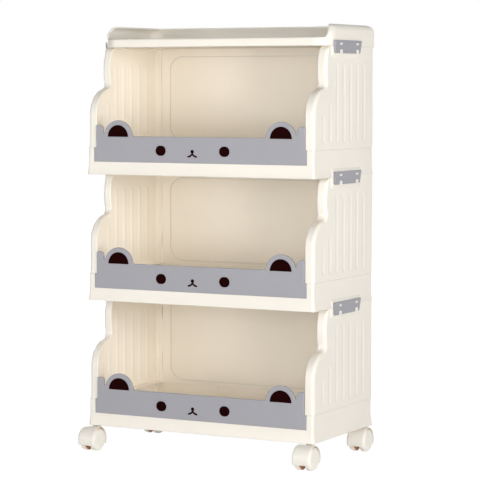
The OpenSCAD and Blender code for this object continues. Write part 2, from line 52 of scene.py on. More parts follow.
CORNERS = (("front_left", -1, -1), ("front_right", 1, -1), ("back_left", -1, 1), ("back_right", 1, 1))
RACK_W, RACK_D = 421.0, 226.0
FLARE, FLARE_H = 2.5, 21.0
BODY_X, BODY_Y = RACK_W / 2 - FLARE, RACK_D / 2 - FLARE
WALL, FIT = 2.4, 0.2
TIER_H, SHELF_H, SILL_H = 209.5, 45.0, 21.0
CASTER_H = 41.5
TOP_Z = CASTER_H + 3 * TIER_H
PANEL_H = TIER_H - SHELF_H
CORNER_R = 4.0
RIM_X, BACK_RIM_X = BODY_X - 15.5, BODY_X - 13.0
TAB_HALF, TAB_DOWN, TAB_T = 15.0, 8.0, 1.8
# From the middle of the footprint to the middle of the shelves
STAND = Matrix.Translation((0, 12.4, 0))
MIRROR = Matrix.Scale(-1, 4, (1, 0, 0))

# Side panels: the front edge's rounding, and the flutes from the front to the back
FRONT_SOFT, EDGE_SOFT = 6.0, 0.7
FLUTE_R, FLUTE_DEPTH, FLUTE_FOOT = 18.0, 0.8, 11.0
FLUTE_FIRST, FLUTE_PITCH = 34.5, 25.2
FLUTE_LENGTHS = (43.0, 61.0) + 5 * (PANEL_H - 40.0,)
FLUTES = [(-BODY_Y + FLUTE_FIRST + FLUTE_PITCH * k, length) for k, length in enumerate(FLUTE_LENGTHS)]

# Link plates, the pegs that they hang on, and the pads behind them, from a tier's joint
PEG_Y, PEG_UP, PEG_DOWN, PEG_GAP = (-23.0, 38.0), 3.6, 7.0, 0.3
PEG_L, PEG_R, PEG_PROUD, PEG_ROOT = 9.0, 1.8, 0.3, 0.5
PAD_Y, PAD_UP, PAD_UP_R, PAD_DOWN, PAD_DOWN_R = (-47.5, 62.0), 12.0, 3.0, 16.0, 5.0
PLATE_T, PLATE_UP, PLATE_H = 3.5, 9.5, 21.0
PLATE_TOP_Y, PLATE_TOP_R = (-45.0, 54.5), 2.0
PLATE_FOOT_Y, PLATE_FOOT_R = (-44.0, 49.5), 4.0

# Top tray: a low lip in front, and a gallery whose edge rolls inwards
TRAY_FRONT, TRAY_FRONT_R, TRAY_FOOT_R, TRAY_COVE = -BODY_Y + 45.5, 28.0, 1.5, 1.4
LIP_H, GALLERY_H, ROLL, ROLL_FROM, ROLL_SOFT = 14.0, 35.5, 12.0, 18.0, 0.8
SHOULDER_Y, SHOULDER_R, DIP_R = TRAY_FRONT + 33.0, 24.0, 5.0

# Back panels: a raised field in a groove
FIELD_SIDE, FIELD_FOOT, FIELD_TOP, FIELD_R, FIELD_UP = 19.0, 8.0, 13.5, 24.0, 0.6
GROOVE_W, GROOVE_D, REBATE = 1.7, 1.1, 1.0

# Front rails, with their posts, ears and faces
RAIL_Y, RAIL_T, RAIL_H, WIDE_H = -111.0, 4.0, 42.5, 23.8
RAIL_HALF, RAIL_FOOT_R, RAIL_R = BODY_X - 11.8, 1.5, 1.2
POST_HALF, POST_W, POST_H, POST_R, NOTCH_Z, NOTCH_R = RIM_X - 0.3, 12.8, 60.4, 4.5, 48.2, 1.0
EAR_X, EAR_Z, EAR_R, EAR_FILLET, INNER_EAR_R, EAR_CUT = POST_HALF - 41.9, 41.5, 27.0, 4.0, 19.3, 1.0
FACE_SHIFT, EYE_X, EYE_Z, EYE_R, EYE_SPREAD = -10.2, 58.9, 19.8, 8.2, 1.2
NOSE_Z, NOSE_R, MOUTH_R, STROKE = 19.0, 3.0, 7.5, 1.4
CLEFT_Z, NECK_Z = 13.2, 15.6
POCKET, INLAY_T = 0.6, 0.8
HOOK_REACH, HOOK_Z = 6.0, (28.0, 57.4)

# Casters
STEM_X, STEM_Y = BODY_X - 9.0, BODY_Y - 9.0
SLEEVE_BORE_R, SLEEVE_BORE_H, SHELF_BOSS_R, SHELF_BOSS_H = 5.52, 17.0, 7.5, 19.4
WHEEL_R, WHEEL_W, AXLE_BORE_R, HUB_GAP = 19.0, 11.3, 2.56, 0.4
TRAIL, CASTER_ANGLE = 15.0, math.radians(270.0)
HOOD_IN, HOOD_OUT, HOOD_HALF, SKIRT_Z, HOOD_TOP = 19.8, 21.3, 15.6, 10.5, 40.1
CROWN_HALF, CROWN_R = 12.0, 5.0
WEB_T, WEB_INTO, BOSS_R, BOSS_FOOT, STEM_BORE_R, STEM_BORE_FOOT = 8.6, 0.4, 7.0, 26.0, 3.06, 30.0

# Colours as they are seen, in sRGB from 0 to 255
CREAM = (241, 235, 224)
# A brighter, warmer copy of the cream for the bins' inner faces: painted light that lifts and warms the
# inside against its shade
CREAM_PAINTED_INSIDE_LIGHT = (251, 242, 227)
RAIL_GREY = (163, 162, 168)
PLATE_GREY = (152, 151, 158)
MAROON = (30, 3, 3)
CASTER_CREAM = (241, 236, 226)
# Painted brown shade for the casters' web, the underside of the hood's top and the wheels' inner faces
CASTER_PAINTED_SHADE = (204, 150, 100)
STEEL = (196, 197, 200)


# Materials

def new_node(tree, kind, values=None, operation=None):
    """A new node, with values for its inputs by name."""
    node = tree.nodes.new(kind)
    if operation:
        node.operation = operation
    for name, value in (values or {}).items():
        node.inputs[name].default_value = value
    return node


def linear(colour):
    """An sRGB colour as linear light, with alpha 1."""
    return [((c / 255 + 0.055) / 1.055) ** 2.4 for c in colour] + [1.0]


def moulded_plastic(name, colour, roughness, grain=0.05, tint=0.02, shine=0.5):
    """Satin moulded plastic: a fine grain in the bump and roughness, and a faint drift in the colour."""
    material = bpy.data.materials.new(name)
    material.use_nodes = True
    tree = material.node_tree
    link = tree.links.new
    shader = tree.nodes["Principled BSDF"]
    shader.inputs["IOR"].default_value = 1.5
    shader.inputs["Specular IOR Level"].default_value = shine
    place = new_node(tree, "ShaderNodeTexCoord").outputs["Object"]

    drift = new_node(tree, "ShaderNodeTexNoise", {"Scale": 7.0, "Detail": 3.0})
    link(place, drift.inputs["Vector"])
    colours = new_node(tree, "ShaderNodeValToRGB")
    base = linear(colour)[:3]
    for end, position, factor in zip(colours.color_ramp.elements, (0.3, 0.7), (1 - tint, 1 + tint)):
        end.position = position
        end.color = [min(1, c * factor) for c in base] + [1]
    link(drift.outputs["Fac"], colours.inputs["Fac"])
    link(colours.outputs["Color"], shader.inputs["Base Color"])

    fine = new_node(tree, "ShaderNodeTexNoise", {"Scale": 1400.0, "Detail": 2.0})
    link(place, fine.inputs["Vector"])
    gloss = new_node(tree, "ShaderNodeMapRange", {
        "From Min": 0.3, "From Max": 0.7, "To Min": roughness - 0.06, "To Max": roughness + 0.06})
    link(fine.outputs["Fac"], gloss.inputs["Value"])
    link(gloss.outputs["Result"], shader.inputs["Roughness"])
    bump = new_node(tree, "ShaderNodeBump", {"Strength": grain, "Distance": 0.0004})
    link(fine.outputs["Fac"], bump.inputs["Height"])
    link(bump.outputs["Normal"], shader.inputs["Normal"])
    return material


def turned_steel(name, colour):
    material = moulded_plastic(name, colour, 0.3, grain=0.02)
    material.node_tree.nodes["Principled BSDF"].inputs["Metallic"].default_value = 1.0
    return material


cream = moulded_plastic("cream moulded shell", CREAM, 0.42)
# The inside copy of the cream, with painted light
cream_painted_inside_light = moulded_plastic("cream moulded shell, painted inside light", CREAM_PAINTED_INSIDE_LIGHT, 0.5)
grey = moulded_plastic("grey moulded rail", RAIL_GREY, 0.5, shine=0.3)
plate_grey = moulded_plastic("grey link plate", PLATE_GREY, 0.4)
maroon = moulded_plastic("maroon inlay", MAROON, 0.8, shine=0.02)
caster_cream = moulded_plastic("cream caster", CASTER_CREAM, 0.38)
# Painted brown shade under the casters' hoods and between their wheels
caster_painted_shade = moulded_plastic("painted brown shade in the casters", CASTER_PAINTED_SHADE, 0.5)
steel = turned_steel("turned steel", STEEL)

FINISH = {"shell": cream, "rail": grey, "link_plate": plate_grey, "inlay": maroon,
          "caster": caster_cream, "steel": steel}
slot_of = {row["node"]: row["material_slot"] for row in frame["record"]["subparts"]}
bodies = frame["record"]["behaviour"]["bodies"]
body_of = {node: body for body, nodes in bodies.items() for node in nodes}
for name, node in frame["nodes"].items():
    node.data.materials.clear()
    node.data.materials.append(FINISH[slot_of[name]])


# Flat outlines: lists of (u, v) points, anticlockwise

def arc(centre, radius, start, end, steps):
    """Points of an arc from one angle to another, in degrees, ends included."""
    angles = [math.radians(start + (end - start) * i / steps) for i in range(steps + 1)]
    return [(centre[0] + radius * math.cos(a), centre[1] + radius * math.sin(a)) for a in angles]


def smooth(t):
    """A soft step from 0 to 1 as t goes from 0 to 1."""
    t = max(0.0, min(1.0, t))
    return t * t * (3 - 2 * t)


def corner(steps):
    """Shares of the radius round a quarter turn, from (1, 0) to (0, 1)."""
    angles = [math.radians(90 * k / steps) for k in range(steps + 1)]
    return [(1 - math.sin(a), 1 - math.cos(a)) for a in angles]


def heading(p, q):
    return math.degrees(math.atan2(q[1] - p[1], q[0] - p[0]))


def tidy_outline(points, step=0.0):
    """A closed outline with no doubled points, and no side longer than step if that is given."""
    same = 1e-4
    kept = []
    for p in points:
        if not kept or math.dist(p, kept[-1]) > same:
            kept.append(p)
    if math.dist(kept[0], kept[-1]) < same:
        kept.pop()
    if not step:
        return kept
    fine = []
    for i, p in enumerate(kept):
        q = kept[(i + 1) % len(kept)]
        parts = max(1, math.ceil(math.dist(p, q) / step))
        fine += [(p[0] + (q[0] - p[0]) * k / parts, p[1] + (q[1] - p[1]) * k / parts) for k in range(parts)]
    return fine


def outward(outline):
    """For each point of a closed outline, the step that moves both sides that meet there out by 1.

    Sides that are shorter than the least one are passed over."""
    least, sharpest = 0.3, 0.35
    steps, count = [], len(outline)
    for i, b in enumerate(outline):
        before = (outline[i - k] for k in range(1, count))
        after = (outline[(i + k) % count] for k in range(1, count))
        a = next(p for p in before if math.dist(p, b) > least)
        c = next(p for p in after if math.dist(p, b) > least)
        m = Vector((b[1] - a[1], a[0] - b[0])).normalized()
        n = Vector((c[1] - b[1], b[0] - c[0])).normalized()
        both = (m + n).normalized()
        steps.append(both / max(sharpest, both.dot(n)))
    return steps


def moved(outline, steps, by):
    """The outline moved outwards by one distance, or by one for each point."""
    far = by if isinstance(by, (list, tuple)) else [by] * len(outline)
    return [(p[0] + s[0] * d, p[1] + s[1] * d) for p, s, d in zip(outline, steps, far)]


def round_rect(u0, u1, v0, v1, r, steps=8):
    return tidy_outline(
        arc((u1 - r, v0 + r), r, -90, 0, steps) + arc((u1 - r, v1 - r), r, 0, 90, steps)
        + arc((u0 + r, v1 - r), r, 90, 180, steps) + arc((u0 + r, v0 + r), r, 180, 270, steps))


def disc(centre, radius, steps=32):
    return tidy_outline(arc(centre, radius, 0, 360, steps))


def both_halves(right):
    """A closed outline from its right half, which runs from the bottom middle to the top middle."""
    left = [(-u, v) for u, v in reversed(right)]
    return tidy_outline(right + left)


def inside(outline, points):
    """Which of the points lie inside a closed outline."""
    x, y = np.asarray(points, float).reshape(-1, 2).T
    edge = np.asarray(outline, float)
    hit = np.zeros(len(x), bool)
    for a, b in zip(edge, np.roll(edge, 1, axis=0)):
        if a[1] != b[1]:
            hit ^= ((a[1] > y) != (b[1] > y)) & (x < (b[0] - a[0]) * (y - a[1]) / (b[1] - a[1]) + a[0])
    return hit


# Solids: a bmesh in millimetres that grows ring by ring

def ring(mesh, points):
    return [mesh.verts.new(p) for p in points]


def bridge(mesh, lower, upper):
    """A band of faces between two rings of as many points."""
    n = len(lower)
    for i in range(n):
        mesh.faces.new((lower[i], lower[(i + 1) % n], upper[(i + 1) % n], upper[i]))


def skin(mesh, rings):
    """Bands of faces from each ring to the next."""
    for a, b in zip(rings, rings[1:]):
        bridge(mesh, a, b)


def wanted(outlines, points):
    """Which of the points lie inside the first outline and outside the others."""
    keep = inside(outlines[0], points)
    for hole in outlines[1:]:
        keep &= ~inside(hole, points)
    return keep


def fill(mesh, rings, flat, grid=None, lift=None):
    """Faces inside the first ring and outside the others. flat holds each ring's flat points.

    With a grid of flat points, those inside are added, and lift gives each of them its place."""
    clear, merge = 0.7, 1e-5
    points = [Vector(p) for one in flat for p in one]
    verts = [v for one in rings for v in one]
    edges, at = [], 0
    for one in flat:
        edges += [(at + i, at + (i + 1) % len(one)) for i in range(len(one))]
        at += len(one)
    border = len(points)
    if grid is not None:
        edge = np.asarray([tuple(p) for p in points])
        near = np.min(np.linalg.norm(grid[:, None] - edge[None], axis=2), axis=1) < clear
        points += [Vector(p) for p in grid[wanted(flat, grid) & ~near].tolist()]
    places, _, faces, sources = delaunay_2d_cdt(points, edges, [], 1, merge)[:4]
    where = []
    for place, source in zip(places, sources):
        real = [s for s in source if s < border]
        if not real and not lift:
            real = [min(range(border), key=lambda j: (points[j] - place).length)]
        where.append(verts[real[0]] if real else mesh.verts.new(lift(*place)))
    mids = np.asarray([[sum(places[i][k] for i in face) / 3 for k in (0, 1)] for face in faces])
    for face, want in zip(faces, wanted(flat, mids)):
        corners = [where[i] for i in face]
        if want and len(set(corners)) == 3:
            mesh.faces.new(corners)


def stack(mesh, outline, shape, place):
    """A ring round the outline for each (distance out, height) of a shape, and their flat points."""
    out = outward(outline)
    flats = [moved(outline, out, far) for far, height in shape]
    rings = [ring(mesh, [place(u, v, height) for u, v in flat]) for flat, (far, height) in zip(flats, shape)]
    return rings, flats


def slab(mesh, outline, low, high, fillet, place, holes=(), pockets=(), sunk=POCKET, foot_fillet=None):
    """A flat plate between two heights with rounded edges, through holes, and pockets sunk from above.

    place turns (u, v, height) into a point."""
    foot = fillet if foot_fillet is None else foot_fillet
    shape = [(-foot * fall, low + foot * rise) for fall, rise in corner(3)]
    shape += [(-fillet * rise, high - fillet * fall) for fall, rise in corner(3)]
    rings, flats = stack(mesh, outline, shape, place)
    skin(mesh, rings)
    lower, lower_flat, upper, upper_flat = [rings[0]], [flats[0]], [rings[-1]], [flats[-1]]
    soft = min(fillet, 0.4)
    through = [(soft, low), (0, low + soft), (0, high - soft), (soft, high)]
    for hole in holes:
        walls, flats = stack(mesh, hole, through, place)
        skin(mesh, walls[::-1])
        lower.append(walls[0])
        lower_flat.append(flats[0])
        upper.append(walls[-1])
        upper_flat.append(flats[-1])
    down = [(0.3, high), (0.1, high - 0.15), (0.1, high - sunk)]
    for pocket in pockets:
        walls, flats = stack(mesh, pocket, down, place)
        skin(mesh, walls)
        upper.append(walls[0])
        upper_flat.append(flats[0])
        fill(mesh, [walls[-1]], [flats[-1]])
    fill(mesh, lower, lower_flat)
    fill(mesh, upper, upper_flat)


def swell(mesh, outline_at, low, high, place):
    """A raised field whose edge runs up in an S. outline_at gives its outline at a distance out."""
    reach, inset, steps = 4.5, 2.5, 10
    rings, flats = [], []
    for k in range(steps + 1):
        flats.append(outline_at(reach - (reach + inset) * k / steps))
        rings.append(ring(mesh, [place(u, v, low + (high - low) * smooth(k / steps)) for u, v in flats[-1]]))
    skin(mesh, rings)
    fill(mesh, [rings[0]], [flats[0]])
    fill(mesh, [rings[-1]], [flats[-1]])


def pan(mesh, outline, out, outside, ends, floor, up, lip, cove, steps, place):
    """A pan's wall: along its outside, over the lip at each point's end and back to a cove at the floor.

    outside lists (distances out, heights) of its rings. up is 1, or -1 where heights fall towards the lip.
    It gives the first and the last ring with their flat points."""
    n, hollow = len(outline), floor + up * WALL
    levels = outside + [([-lip * rise] * n, [e - up * lip * fall for e in ends]) for fall, rise in corner(3)]
    levels += [([-WALL + lip * fall] * n, [e - up * lip * rise for e in ends]) for fall, rise in corner(3)]
    levels += [([-WALL - cove * rise] * n, [hollow + up * cove * fall] * n) for fall, rise in corner(steps)]
    flats = [moved(outline, out, far) for far, heights in levels]
    rings = []
    for flat, (far, heights) in zip(flats, levels):
        rings.append(ring(mesh, [place(u, v, h) for (u, v), h in zip(flat, heights)]))
    skin(mesh, rings)
    return (rings[0], flats[0]), (rings[-1], flats[-1])


def lathe(mesh, profile, place, steps):
    """Turns a profile of (radius, height) about the axis. place turns (x, y, height) into a point."""
    rings = []
    for r, h in profile:
        flat = [(0, 0)] if r < 1e-6 else disc((0, 0), r, steps)
        rings.append(ring(mesh, [place(u, v, h) for u, v in flat]))
    for a, b in zip(rings, rings[1:]):
        if len(a) == 1:
            for i in range(len(b)):
                mesh.faces.new((a[0], b[(i + 1) % len(b)], b[i]))
        elif len(b) == 1:
            for i in range(len(a)):
                mesh.faces.new((a[i], a[(i + 1) % len(a)], b[0]))
        else:
            bridge(mesh, a, b)


def upright(u, v, h):
    """Outlines seen from above."""
    return (u, v, h)


def to_side(u, v, h):
    """Outlines by depth and height, with the slab's height to the right."""
    return (h, u, v)


def to_front(u, v, h):
    """Outlines by width and height, with the slab's height to the front."""
    return (u, -h, v)


def sealed(mesh):
    bmesh.ops.remove_doubles(mesh, verts=mesh.verts, dist=1e-4)
    bmesh.ops.recalc_face_normals(mesh, faces=mesh.faces)
    return mesh


# From a bmesh to a piece of the scene

def object_of(mesh, name, matrix, sharp=38.0):
    """A new object from a bmesh, which is used up. It is smooth but for its hard edges."""
    bmesh.ops.transform(mesh, matrix=matrix, verts=mesh.verts)
    for face in mesh.faces:
        face.smooth = True
    data = bpy.data.meshes.new(name)
    mesh.to_mesh(data)
    mesh.free()
    data.set_sharp_from_angle(angle=math.radians(sharp))
    made = bpy.data.objects.new(name, data)
    bpy.context.scene.collection.objects.link(made)
    return made


def make_plain(piece):
    """Carries out the object's modifiers, so that it holds a plain mesh."""
    bpy.context.view_layer.update()
    graph = bpy.context.evaluated_depsgraph_get()
    shape = piece.evaluated_get(graph)
    solid = bpy.data.meshes.new_from_object(shape, preserve_all_data_layers=True, depsgraph=graph)
    first = piece.data
    piece.modifiers.clear()
    piece.data = solid
    bpy.data.meshes.remove(first)


def put(mesh, node, materials, at=Matrix.Identity(4), inner=None):
    """Puts a copy of a bmesh in place of a CAD node. inner picks the faces of the second material."""
    own = mesh.copy()
    if inner:
        for face in own.faces:
            if inner(face.calc_center_median(), face.normal):
                face.material_index = 1
    if at.determinant() < 0:
        bmesh.ops.reverse_faces(own, faces=own.faces)
    piece = object_of(own, node + "_look", Matrix.Scale(MM, 4) @ STAND @ at)
    for material in materials:
        piece.data.materials.append(material)
    piece.modifiers.new("weighted normals", "WEIGHTED_NORMAL").keep_sharp = True
    make_plain(piece)
    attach(piece, body_of[node])
    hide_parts(node)


def raised(z):
    return Matrix.Translation((0, 0, z))


# Side panels

def panel_side_view():
    """A side panel from its right: depth and height above its foot, anticlockwise.

    Its front edge runs up round a low bulge, back through a hollow and up round a high one."""
    front, back = -BODY_Y + 1.5, BODY_Y
    low_r, hollow_r, high_r, top_r = 44.0, 10.0, 79.0, 14.0
    low_z, high_z, set_back = 53.0, PANEL_H - 36.5, 43.0
    low = (front + low_r, low_z)
    high = (front + set_back + high_r, high_z)
    far = math.dist(low, high)
    along = (far ** 2 + (low_r + hollow_r) ** 2 - (high_r + hollow_r) ** 2) / (2 * far)
    aside = math.sqrt((low_r + hollow_r) ** 2 - along ** 2)
    u, v = (high[0] - low[0]) / far, (high[1] - low[1]) / far
    hollow = (low[0] + along * u - aside * v, low[1] + along * v + aside * u)
    top_z = PANEL_H - top_r
    top = (high[0] - math.sqrt((high_r - top_r) ** 2 - (top_z - high[1]) ** 2), top_z)
    edge = [(front, 0)]
    edge += arc(low, low_r, 180, heading(low, hollow), 28)
    edge += arc(hollow, hollow_r, heading(hollow, low), heading(hollow, high), 14)
    edge += arc(high, high_r, heading(high, hollow) + 360, heading(high, top), 18)
    edge += arc(top, top_r, heading(high, top), 90, 12)
    # Two close points at the head and foot of the back rim, where the rim gets shallower
    step_y = (back - WALL - 0.35, back - WALL - 0.15)
    edge += [(step_y[0], PANEL_H), (step_y[1], PANEL_H), (back, PANEL_H)]
    edge += [(back, 0), (step_y[1], 0), (step_y[0], 0)]
    return tidy_outline(list(reversed(edge)), step=5.0)


def flute(y, z, radius):
    """How deep the nearest flute is at a point of a panel: a part of a circle across, fading at both ends."""
    half = math.sqrt(radius ** 2 - (radius - FLUTE_DEPTH) ** 2)
    for centre, length in FLUTES:
        off, head = abs(y - centre), FLUTE_FOOT + length
        if off < half and FLUTE_FOOT < z < head:
            across = math.sqrt(radius ** 2 - off ** 2) - (radius - FLUTE_DEPTH)
            end = min(z - FLUTE_FOOT, head - z) / half
            fade = 1.0 if end >= 1 else math.sqrt(max(0.0, 1 - (1 - end) ** 2))
            return across * fade
    return 0.0


def edge_rounding(y, z):
    """How broadly a panel's outer edge is rounded: most in front, and as the shelf's corner at the foot."""
    if y >= BODY_Y - 1 or z <= 0.5:
        return EDGE_SOFT
    return min(FRONT_SOFT, EDGE_SOFT + 0.5 * (PANEL_H - z), CORNER_R + 0.4 * z)


def fluted_grid():
    """Points all over a panel, closest where the flutes begin and end."""
    across, fine, coarse = 1.4, 1.5, 6.0
    ys = [-BODY_Y + across * k for k in range(1, int(2 * BODY_Y / across))]
    # Fine steps round the flutes' foot and round the heads of the two short and of the long flutes
    close = ((fine, 13), (50.0, 3), (67.0, 5), (136.0, 18))
    zs = {first + fine * k for first, count in close for k in range(count)}
    zs |= {24 + coarse * k for k in range(19)} | {55.0}
    return np.array([(y, z) for y in ys for z in sorted(zs)])


def pad_below(d):
    """Outline of the pad under a link plate, below the joint, grown by a distance."""
    low = PANEL_H - PAD_DOWN + PAD_DOWN_R
    top = [(PAD_Y[1] + d, PANEL_H), (PAD_Y[0] - d, PANEL_H)]
    return top + arc((PAD_Y[0] + PAD_DOWN_R, low), PAD_DOWN_R + d, 180, 270, 6) \
        + arc((PAD_Y[1] - PAD_DOWN_R, low), PAD_DOWN_R + d, 270, 360, 6)


def pad_above(d):
    """Outline of the pad under a link plate, above the joint, grown by a distance."""
    high, r = PAD_UP - PAD_UP_R, PAD_UP_R
    foot = [(PAD_Y[0] - d, 0), (PAD_Y[1] + d, 0)]
    return foot + arc((PAD_Y[1] - r, high), r + d, 0, 90, 5) + arc((PAD_Y[0] + r, high), r + d, 90, 180, 5)


def tab(middle):
    return round_rect(middle - TAB_HALF, middle + TAB_HALF, -TAB_DOWN, WALL, 1.5, 3)


def side_panel():
    """Right side panel: a pan with its rim towards the inside, fluted, with a pad for the link plate."""
    mesh = bmesh.new()
    outline = panel_side_view()
    out = outward(outline)
    soft = [edge_rounding(y, z) for y, z in outline]
    # The front foot's corner moves straight to the front, as the shelf's edge below it does
    start = min(range(len(outline)), key=lambda i: math.dist(outline[i], (-BODY_Y, 0)))
    out[start], soft[start] = Vector((-1, 0)), CORNER_R
    ends = [BACK_RIM_X if y > BODY_Y - WALL - 0.25 else RIM_X for y, z in outline]
    edge = [([-s * fall for s in soft], [BODY_X - s * rise for s in soft]) for fall, rise in corner(7)]
    outer, inner = pan(mesh, outline, out, edge, ends, BODY_X, up=-1, lip=0.9, cove=1.5, steps=3,
                       place=to_side)
    grid = fluted_grid()
    for (rim, flat), x, radius in ((outer, BODY_X, FLUTE_R), (inner, BODY_X - WALL, FLUTE_R + WALL)):
        fill(mesh, [rim], [flat], grid, lambda y, z: (x - flute(y, z, radius), y, z))
    swell(mesh, pad_below, BODY_X - 0.3, RACK_W / 2, to_side)
    for y in (-BODY_Y / 2, BODY_Y / 2):
        slab(mesh, tab(y), BODY_X - WALL - FIT - TAB_T, BODY_X - WALL - FIT, 0.3, to_side)
    return sealed(mesh)


# Shelves

def plate_outline(half, y0, y1, r0, r1, xs=(), ys=()):
    """A rectangle with round corners. xs and ys are places along it that get a point of their own."""
    def along(a, b, own):
        own = [c for c in own if a < c < b]
        even = [a + (b - a) * k / 14 for k in range(1, 14)]
        return sorted(own + [c for c in even if all(abs(c - o) > 1 for o in own)])

    turn = set(-90 + 9.0 * k for k in range(11))
    turn |= set(math.degrees(math.asin((y - y0 - r0) / r0)) for y in ys if y0 < y < y0 + r0)
    front = [(math.cos(math.radians(a)), math.sin(math.radians(a))) for a in sorted(turn)]
    right = [(0, y0)] + [(x, y0) for x in along(0, half - r0, xs)]
    right += [(half - r0 + r0 * c, y0 + r0 + r0 * s) for c, s in front]
    right += [(half, y) for y in along(y0 + r0, y1 - r1, ys)]
    right += arc((half - r1, y1 - r1), r1, 0, 90, 9)
    right += [(x, y1) for x in reversed(along(0, half - r1, xs))] + [(0, y1)]
    return both_halves(right)


def shelf(pads):
    """Shelf: flared foot, low wall in front, corner bosses, a ledge for the rail, pads for link plates."""
    mesh = bmesh.new()
    step = RAIL_HALF + FIT
    outline = plate_outline(BODY_X, -BODY_Y, BODY_Y, CORNER_R, CORNER_R, xs=(step - 0.05, step + 0.05))
    ends = [SILL_H if y < 0 and abs(x) < step else SHELF_H for x, y in outline]
    foot = arc((FLARE - 0.8, 0.8), 0.8, -90, 0, 3)
    foot += [(FLARE * (1 - z / FLARE_H) ** 2, z) for z in (1.8, 3.2, 5.0, 7.5, 10.5, 14.0, 17.5, FLARE_H)]
    n, out = len(outline), outward(outline)
    flare = [([d] * n, [z] * n) for d, z in foot]
    under, floor = pan(mesh, outline, out, flare, ends, 0, up=1, lip=1.0, cove=1.4, steps=4, place=upright)
    stems = [(sx * STEM_X, sy * STEM_Y) for _, sx, sy in CORNERS]
    mouths = []
    for centre in stems:
        flat = disc(centre, SLEEVE_BORE_R, 28)
        low, high = [ring(mesh, [(x, y, z) for x, y in flat]) for z in (0, SLEEVE_BORE_H)]
        bridge(mesh, low, high)
        fill(mesh, [high], [flat])
        mouths.append((low, flat))
    fill(mesh, [under[0]] + [low for low, flat in mouths], [under[1]] + [flat for low, flat in mouths])
    fill(mesh, [floor[0]], [floor[1]])
    soft = 1.0
    boss = [(SHELF_BOSS_R, 1.0)] + arc((SHELF_BOSS_R - soft, SHELF_BOSS_H - soft), soft, 0, 90, 4)
    for x, y in stems:
        lathe(mesh, boss + [(0, SHELF_BOSS_H)], lambda u, v, h: (x + u, y + v, h), 32)
    near, behind = RAIL_Y + 1.4, RAIL_Y + RAIL_T + FIT
    lip_t, lip_top, lip_x = 2, SILL_H + 11, STEM_X - SHELF_BOSS_R - 4
    ledge = [(near, SILL_H - WALL), (behind + lip_t, SILL_H - WALL), (behind + lip_t, lip_top)]
    ledge += [(behind, lip_top), (behind, SILL_H), (near, SILL_H)]
    slab(mesh, ledge, -lip_x, lip_x, 0.4, to_side)
    for s in (1, -1) if pads else ():
        swell(mesh, pad_above, BODY_X - 0.6, RACK_W / 2, lambda u, v, h: (s * h, u, v))
    return sealed(mesh)


# Top tray

def softened(points):
    """An open line of points with its corners cut off twice."""
    for _ in range(2):
        cut = [points[0]]
        for a, b in zip(points, points[1:]):
            cut += [a.lerp(b, 0.25), a.lerp(b, 0.75)]
        points = cut + [points[-1]]
    return points


def gallery_line():
    """The edge of the tray's gallery from the side, from the lip in front to the level at the back."""
    shoulder = (SHOULDER_Y, GALLERY_H - SHOULDER_R)
    dip_z = LIP_H + DIP_R
    reach = math.sqrt((SHOULDER_R + DIP_R) ** 2 - (dip_z - shoulder[1]) ** 2)
    dip = (shoulder[0] - reach, dip_z)
    turn = heading(dip, shoulder)
    return arc(dip, DIP_R, -90, turn, 6) + arc(shoulder, SHOULDER_R, turn + 180, 90, 20)[1:]


def tray_inset(p, step, by, r, z):
    """A point of the tray's outline moved in by a length, and by less from the back.

    r is the radius round the back corners."""
    half, back_y = RACK_W / 2, RACK_D / 2
    straight = min(by, WALL + TRAY_COVE)
    behind_by = straight + 0.25 * (by - straight)
    x, y = p[0] - step[0] * straight, p[1] - step[1] * straight
    aside, behind = abs(x) - (half - 2 * ROLL), y - (back_y - 2 * ROLL)
    if aside <= 0 or behind <= 0:
        return Vector((max(by - half, min(half - by, x)), min(y, back_y - behind_by), z))
    ray = Vector((aside, behind)).normalized()
    flat = 2 * ROLL - by - r
    far = (flat + r) / max(ray)
    if min(ray) * far > flat:
        along = (ray.x + ray.y) * flat
        far = along + math.sqrt(max(0.0, along ** 2 - 2 * flat ** 2 + r ** 2))
    squeeze = (2 * ROLL - behind_by) / (2 * ROLL - by)
    return Vector((math.copysign(half - 2 * ROLL + ray.x * far, x),
                   back_y - 2 * ROLL + ray.y * far * squeeze, z))


def climb(p, step, rolled, top, start, thick):
    """Points up one face of the tray's wall, straight and then inwards round an arc.

    The face lies thick in from the wall's outer face."""
    r, bend = max(0.05, rolled - thick), top - rolled
    length = bend - start + r * math.pi / 2
    points = []
    for far in [(length - ROLL_SOFT) * k / 14 for k in range(15)] + [length]:
        a = max(0.0, far - (bend - start)) / r
        by = rolled - r * math.cos(a)
        round_by = 2 * ROLL - by if thick else CORNER_R + (ROLL - CORNER_R) * (by / ROLL) ** 3
        points.append(tray_inset(p, step, by, round_by, bend + r * math.sin(a) if a else start + far))
    return points


